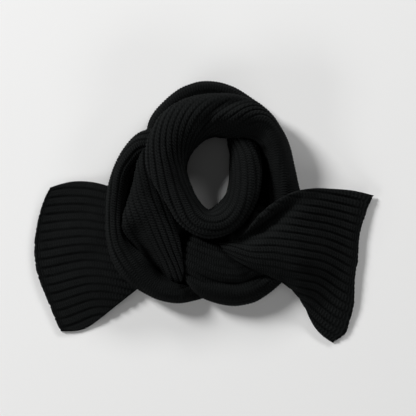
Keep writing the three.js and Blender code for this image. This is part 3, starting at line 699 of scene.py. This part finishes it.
FRONT_TURN = [
    # outer edge        crest              hole-side edge    rounding  ribs
    ((163, -62, 0), (138, -58, 17), (112, -50, 9), 90, 80, 11, 17),
    ((168, -31, 0), (140, -32, 20), (113, -27, 9), 90, 80, 11, 17),
    ((168, 4, 0), (139, 4, 34), (112, 5, 12), 90, 80, 11, 17),
    ((163, 38, 0), (128, 39, 43), (110, 37, 14), 90, 80, 11, 17.5),
    ((154, 77, 0), (125, 76, 48), (106, 74, 18), 90, 80, 11, 18),
    ((145, 114, 0), (123, 110, 52), (99, 102, 27), 90, 80, 11, 18),
    ((127, 147, 0), (107, 145, 57), (90, 114, 32), 90, 75, 10.9, 18),
    ((103, 175, 5), (85, 166, 62), (70, 126, 34), 90, 75, 10, 17.8),
    ((67, 196, 36), (49, 175, 68), (40, 124, 27), 85, 80, 8, 16),
    ((25, 203, 36), (13, 171, 71), (5, 128, 2), 85, 88, 6, 15),
    ((-29, 197, 36), (-27, 160, 71), (-20, 112, 0), 85, 90, 4, 13),
    ((-68, 178, 36), (-59, 139, 69), (-34, 92, 0), 85, 90, 2, 11),
    ((-99, 141, 36), (-76, 110, 68), (-40, 74, 0), 85, 90, 0.7, 9.7),
    ((-110, 97, 40), (-79, 77, 66), (-38, 58, 0), 88, 90, 0, 9),
    ((-104, 59, 41), (-74, 50, 65), (-32, 40, 0), 88, 90, 0.5, 9),
    ((-88, 31, 41), (-59, 27, 63), (-24, 23, 0), 88, 90, 1.4, 9),
    ((-70, 2, 40), (-43, 5, 61), (-14, 7, 0), 88, 90, 2, 9),
    ((-47, -32, 31), (-25, -14, 59), (-4, -2, 0), 90, 90, 2, 9.5),
    ((-7, -54, 16), (2, -27, 58), (2, -5, 0), 90, 90, 1.6, 10),
    ((36, -47, 13), (29, -22, 56), (16, 4, 0), 90, 90, 1.2, 10),
    ((67, -22, 11), (52, -4, 54), (31, 20, 0), 90, 90, 0.8, 9.5),
    ((88, 16, 11), (68, 27, 53), (38, 43, 0), 90, 90, 0.4, 9),
    ((96, 56, 11), (74, 61, 52), (40, 70, 0), 90, 90, 0, 8.7),
    ((95, 90, 11), (72, 94, 47), (40, 99, 0), 88, 88, 0, 8.2),
    ((88, 119, 9), (65, 117, 36), (36, 117, 0), 80, 85, 0, 7.4),
    ((79, 139, 7), (56, 135, 25), (36, 131, 2), 70, 75, 0, 6),
]
BACK_TURN = [
    # outer edge        crest              hidden edge       rounding  ribs
    ((112, 166, 0), (97, 160, 22), (77, 149, 13), 88, 60, 0, 4),
    ((83, 193, 0), (73, 185, 31), (56, 162, 11), 90, 65, 0, 4.8),
    ((42, 217, 0), (38, 207, 35), (29, 176, 12), 90, 70, 0, 5.2),
    ((-6, 226, 0), (-6, 215, 36), (-4, 180, 12), 90, 70, 0, 5.2),
    ((-49, 214, 0), (-45, 202, 36), (-32, 169, 12), 90, 70, 0, 5.2),
    ((-82, 187, 0), (-75, 177, 37), (-54, 152, 15), 90, 65, 0, 5),
    ((-106, 156, 0), (-96, 147, 36), (-74, 128, 23), 90, 60, 0, 4.6),
    ((-110, 122, 0), (-97, 117, 29), (-79, 108, 18), 90, 60, 0, 4),
]
CROSSING = [
    # lower edge        crest              upper edge        rounding  ribs
    ((163, -63, 0), (138, -59, 17), (112, -51, 9), 90, 80, 0, 6),
    ((153, -103, 0), (135, -95, 22), (113, -83, 12), 90, 80, 0, 5),
    ((135, -128, 0), (119, -113, 32), (95, -93, 22), 90, 85, 0, 6),
    ((112, -151, 0), (96, -128, 36), (78, -100, 23), 90, 85, 0, 7),
    ((82, -169, 0), (69, -134, 39), (58, -96, 22), 90, 88, 0, 8.4),
    ((50, -175, 0), (44, -135, 40), (42, -80, 19), 90, 75, 0, 9.6),
    ((20, -171, 0), (18, -131, 43), (23, -62, 17), 90, 70, 0, 10.6),
    ((-9, -161, 12), (-9, -119, 44), (-5, -52, 19), 90, 70, 0.4, 10.8),
    ((-30, -143, 24), (-32, -105, 42), (-28, -47, 20), 85, 75, 1.4, 10.4),
    ((-46, -117, 18), (-52, -90, 32), (-52, -61, 16), 80, 85, 3, 8.4),
    ((-63, -103, 11), (-72, -85, 23), (-72, -67, 13), 75, 75, 4, 7.2),
]
CROSSING_TROUGHS = [
    # from          to            depth  half width
    ((-40, -117), (9, -131), 11, 8),
    ((9, -131), (52, -136), 13, 8),
    ((52, -136), (108, -119), 12, 9),
    ((-35, -64), (22, -87), -5, 9),
    ((22, -87), (52, -102), -5, 9),
]
LEFT_FALL = [
    # left edge         crest              right edge        rounding  ribs
    ((-112, 108, 31), (-99, 104, 36), (-83, 101, 31), 60, 60, 7, 9),
    ((-125, 86, 27), (-106, 75, 45), (-79, 65, 36), 80, 60, 5.6, 9.4),
    ((-130, 54, 27), (-110, 47, 50), (-72, 32, 38), 82, 60, 4, 9.6),
    ((-139, 22, 27), (-111, 14, 53), (-65, 7, 40), 82, 60, 2.6, 9.4),
    ((-150, -11, 31), (-112, -14, 54), (-58, -22, 40), 80, 65, 1.2, 9.2),
    ((-151, -42, 36), (-106, -42, 52), (-50, -50, 41), 75, 80, 0.4, 9),
    ((-127, -68, 29), (-92, -68, 49), (-47, -77, 41), 70, 85, 0.7, 8.6),
    ((-117, -87, 14), (-76, -92, 42), (-43, -106, 38), 50, 85, 1, 7.8),
    ((-110, -105, 9), (-73, -114, 31), (-44, -127, 28), 45, 80, 1.2, 6.8),
    ((-97, -122, 9), (-71, -130, 17), (-51, -135, 15), 45, 70, 1.6, 5.8),
]
FRONT_TURN_TROUGHS = [
    ((-9, 146), (12, 173), 12, 9),
    ((12, 173), (46, 187), 11, 9),
    ((38, 148), (61, 168), -4, 8),
    ((61, 168), (100, 158), -4, 8),
    ((120, 25), (116, 60), 10, 11),
    ((116, 60), (104, 100), 9, 10),
    ((20, 142), (50, 136), 10, 13),
    ((50, 136), (94, 128), 9, 13),
]
LEFT_RIM_TROUGHS = [
    ((-134, -58), (-108, -88), 7, 13),
    ((-108, -88), (-80, -118), 7, 13),
]
LEFT_FALL_TROUGHS = [
    ((-124, -48), (-108, -80), 12, 17),
    ((-108, -80), (-90, -110), 14, 19),
]

PULLED_FLAT = {
    # stretch: lines of the plan beside which the ribs are pulled flat and their painted highlight fades,
    # from, to, share and half width
    "left_rim": [((-128, -125), (-20, -155), 0.8, 26), ((-134, -60), (-86, -118), 0.9, 20)],
    "front_turn": [
        ((152, -60), (150, 60), 0.95, 24),
        ((150, 60), (120, 120), 0.9, 18),
        ((128, 20), (112, 100), 0.85, 14),
        ((26, 146), (96, 134), 0.85, 15),
        ((46, 10), (62, 100), 0.4, 30),
        ((-52, 184), (0, 196), 0.8, 12),
        ((0, 196), (66, 196), 0.9, 14),
    ],
    "back_turn": [((-96, 147), (-45, 200), 0.8, 40), ((-45, 200), (97, 180), 0.8, 45)],
    "crossing": [((-20, -152), (110, -148), 0.85, 22), ((-25, -90), (60, -108), 0.6, 25)],
    "left_fall": [((-124, -40), (-92, -118), 0.9, 27), ((-118, 50), (-112, -20), 0.5, 28)],
}

left_rim, front_turn, back_turn, crossing, left_fall = (
    Stretch(f"{node}_cloth", table, step=step, troughs=troughs, smooth=PULLED_FLAT[node])
    for node, table, step, troughs in (
        ("left_rim", LEFT_RIM, 16, LEFT_RIM_TROUGHS),
        ("front_turn", FRONT_TURN, 16, FRONT_TURN_TROUGHS),
        ("back_turn", BACK_TURN, 18, ()),
        ("crossing", CROSSING, 16, CROSSING_TROUGHS),
        ("left_fall", LEFT_FALL, 15, LEFT_FALL_TROUGHS),
    )
)
LAYING_ORDER = [
    # stretch, the rows of its table that are laid now, and those that lie there for the next stretch
    (left_rim, (12.9, 15), (12.9, 15)),
    (front_turn, (23, 25), (23, 25)),
    (back_turn, (0, 7), ()),
    (crossing, (0, 10), ()),
    (left_rim, (0, 8.5), (0, 8.5)),
    (left_fall, (0, 9), ()),
    (left_rim, (8.5, 12.9), ()),
    (front_turn, (0, 21.6), ()),
]
for stretch, laid, marked in LAYING_ORDER:
    stretch.lay_on(tops, *laid)
    stretch.mark_on(tops, *marked)

WOUND = {
    # stretch: solid that it stands for, flat width and length, flat area, what it lies on
    left_rim: ("left_rim", (0.075, 0.449), 0.0259, ["studio_floor", "left_end_cloth"]),
    back_turn: ("back_turn", (0.087, 0.261), 0.0203, ["studio_floor", "hidden_layers"]),
    crossing: ("crossing", (0.145, 0.281), 0.0259, ["studio_floor", "left_rim_cloth"]),
    left_fall: ("left_fall", (0.104, 0.25), 0.0191, ["crossing_cloth", "left_rim_cloth"]),
    front_turn: (
        "front_turn",
        (0.149, 0.776),
        0.0823,
        ["back_turn_cloth", "left_fall_cloth", "studio_floor"],
    ),
}
for stretch, (node, flat, area, under) in WOUND.items():
    piece = stretch.make()
    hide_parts(node)

# The right-hand end: the cast-off end of the same knitting, with a ripple in its thick edge.
# It climbs out between the ring and the crossing, lies over the crossing and fans out flat to the right,
# where its own weight holds it.
RIGHT_END = [
    # upper edge        crest              lower edge        rounding  ribs
    ((20, -65, 9), (29, -74, 16), (38, -83, 13), 70, 60, 9.6, 12.6),
    ((43, -59, 25), (52, -77, 40), (63, -101, 38), 75, 60, 8, 13),
    ((65, -43, 42), (77, -74, 51), (86, -112, 39), 75, 60, 6.4, 13.4),
    ((83, -19, 50), (103, -68, 54), (109, -121, 34), 65, 65, 4.8, 13.8),
    ((106, 4, 54), (130, -65, 52), (131, -132, 26), 60, 70, 3.4, 14.3),
    ((135, 22, 52), (157, -68, 45), (151, -148, 23), 60, 70, 2, 15.2),
    ((164, 32, 43), (180, -76, 34), (164, -164, 14), 50, 65, 0.9, 16.2),
    ((194, 36, 32), (203, -83, 23), (175, -182, 8), 40, 60, 0.4, 17.1),
    ((228, 34, 20), (227, -88, 14), (185, -205, 4), 30, 50, 0.2, 17.7),
    ((260, 32, 12), (248, -94, 7), (201, -227, 3), 30, 40, 0, 18),
    ((296, 23, 7), (268, -97, 3), (222, -241, 3), 30, 30, 0, 18),
]
RIGHT_END_TROUGHS = [
    ((62, -60), (90, -43), 14, 11),
    ((90, -43), (124, -17), 18, 12),
    ((124, -17), (140, 2), 14, 11),
    ((140, 2), (158, 16), 8, 10),
    ((72, -39), (100, -12), -4, 6),
    ((100, -12), (132, 14), -4, 6),
    ((200, -27), (236, -88), 3.6, 23),
    ((171, -113), (221, -135), 3.6, 14),
]
RIGHT_HEM = [
    (-1, 2),
    (-0.85, -5),
    (-0.5, -9),
    (0, 2),
    (0.5, 18),
    (0.8, 20),
    (1, 3),
]
# lines beside which the right end's ribs are pulled flat and their painted highlight fades: from, to, share
# and half width
RIGHT_END_SMOOTH = [
    ((60, -54), (93, -37), 0.95, 15),
    ((93, -37), (123, -12), 0.95, 17),
    ((123, -12), (146, 10), 0.95, 14),
    ((146, 10), (190, 24), 0.7, 11),
    ((76, -110), (145, -125), 0.75, 14),
]
right_end = Stretch(
    "right_end_cloth", RIGHT_END, step=15, troughs=RIGHT_END_TROUGHS, hem=RIGHT_HEM, smooth=RIGHT_END_SMOOTH
)
right_end.lay_on(tops, 0, len(RIGHT_END) - 1)
right_end_cloth = right_end.make()
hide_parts("right_end")

# The folded layers inside the heap: the rest of the same length of knitting, seen only as darkness between
# the turns. They lie on each other with nothing between them, in the room that the solid states, and at the
# heap's sides each one's fold is a round edge.
HEAP_MIDDLE = (2, 65)  # the middle of the neck hole
SPOKES = 84  # sections of the solid, like spokes about that middle
SPOKE_STEPS = 10  # even steps over the top of each
FINER_ROUND = 5  # sections of the cloth for each of the solid's
FINER_OVER = 8  # steps of the cloth for each of the solid's
FOLDED_LAYERS = 3
FOLD_DEPTH = 3  # how far in the groove lies between two folds
FOLD_STEPS = 8  # steps round each fold
UNDER_STEPS = 12
UNDER_CLOTH = 1.5  # how far the folded layers stay below the lowest cloth that lies on them
SUNK_RIB = 1.4  # how far the knitting's grooves lie below the top of the solid
SAME_PLACE = 0.2  # corners of the solid this near to a step of a spoke belong to it
NOTHING_THERE = -1000  # a height far below all that is laid

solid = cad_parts["hidden_layers"].data
solid_corners = np.array([vertex.co[:] for vertex in solid.vertices]) - (*LAYOUT_MIDDLE, 0)
from_heap_middle = solid_corners[:, :2] * 1000 - HEAP_MIDDLE
corner_height = solid_corners[:, 2] * 1000
reach = np.hypot(*from_heap_middle.T)
turn_of_corner = np.arctan2(from_heap_middle[:, 1], from_heap_middle[:, 0])
spoke = np.round(turn_of_corner / math.tau * SPOKES).astype(int) % SPOKES
sections = []
for n in range(SPOKES):
    own_reach, own_height = reach[spoke == n], corner_height[spoke == n]
    near, far = own_reach.min(), own_reach.max()
    steps = np.linspace(near, far, SPOKE_STEPS + 1)
    over = [own_height[np.abs(own_reach - step) < SAME_PLACE].max() for step in steps]
    sections.append([near, far, *over])
sections = np.array(sections + sections[:1])
finer = np.arange(SPOKES * FINER_ROUND) / FINER_ROUND
sections = np.column_stack([np.interp(finer, np.arange(SPOKES + 1), column) for column in sections.T])
near, far, over = sections[:, :1], sections[:, 1:2], sections[:, 2:]

height_share = np.linspace(0, 1, FOLDED_LAYERS * FOLD_STEPS + 1)
off_fold = 2 * (height_share * FOLDED_LAYERS % 1) - 1
inward = FOLD_DEPTH * (1 - np.sqrt(1 - off_fold**2))
over_share = np.linspace(0, 1, SPOKE_STEPS * FINER_OVER + 1)[1:-1]
under_share = np.linspace(0, 1, UNDER_STEPS + 1)[1:-1]
over_steps, finer_steps = np.arange(SPOKE_STEPS + 1), over_share * SPOKE_STEPS
top_height = np.array([np.interp(finer_steps, over_steps, line) for line in over])
narrow = far - near - 2 * FOLD_DEPTH
from_middle = np.hstack([
    near + inward,
    near + FOLD_DEPTH + narrow * over_share,
    far - inward[::-1],
    far - FOLD_DEPTH - narrow * under_share,
])
height = np.hstack([
    over[:, :1] * height_share,
    top_height,
    over[:, -1:] * height_share[::-1],
    0 * narrow * under_share,
])
ribs = from_middle / RIB_PITCH
rows_round = round(math.tau * near.mean() / STITCH_ROW * 2)
rows = np.arange(len(finer))[:, None] / len(finer) * rows_round + 0 * ribs
sunk = SUNK_RIB * (1 - smooth_step((0.5 - off_middle_of(ribs)) / RIB_SLOPE))
on_top = slice(len(height_share), len(height_share) + len(over_share))
turn = finer[:, None] / SPOKES * math.tau
points = np.stack([
    HEAP_MIDDLE[0] + from_middle * np.cos(turn),
    HEAP_MIDDLE[1] + from_middle * np.sin(turn),
    height,
], axis=-1)
undersides = Heights(NOTHING_THERE)  # upside down, so that the lowest cloth over a place counts
for stretch in (left_end, *WOUND, right_end):
    undersides.mark(stretch.faces_of_wall()[1] * (1, 1, -1))
room = -undersides.read(points) - UNDER_CLOTH
points[..., 2] = np.minimum(points[..., 2], np.maximum(room, 0))
points[:, on_top, 2] -= np.minimum(sunk[:, on_top], points[:, on_top, 2] / 2)
ids = np.arange(height.size).reshape(height.shape)
following = np.roll(ids, -1, axis=0)
faces = np.stack([ids, np.roll(ids, -1, axis=1), np.roll(following, -1, axis=1), following], axis=-1)
inner_layers = knitted_object(
    "inner_layers",
    points.reshape(-1, 3),
    faces.reshape(-1, 4).tolist(),
    np.column_stack([ribs.ravel(), rows.ravel()]),
    np.ones(height.size),
)
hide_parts("hidden_layers")
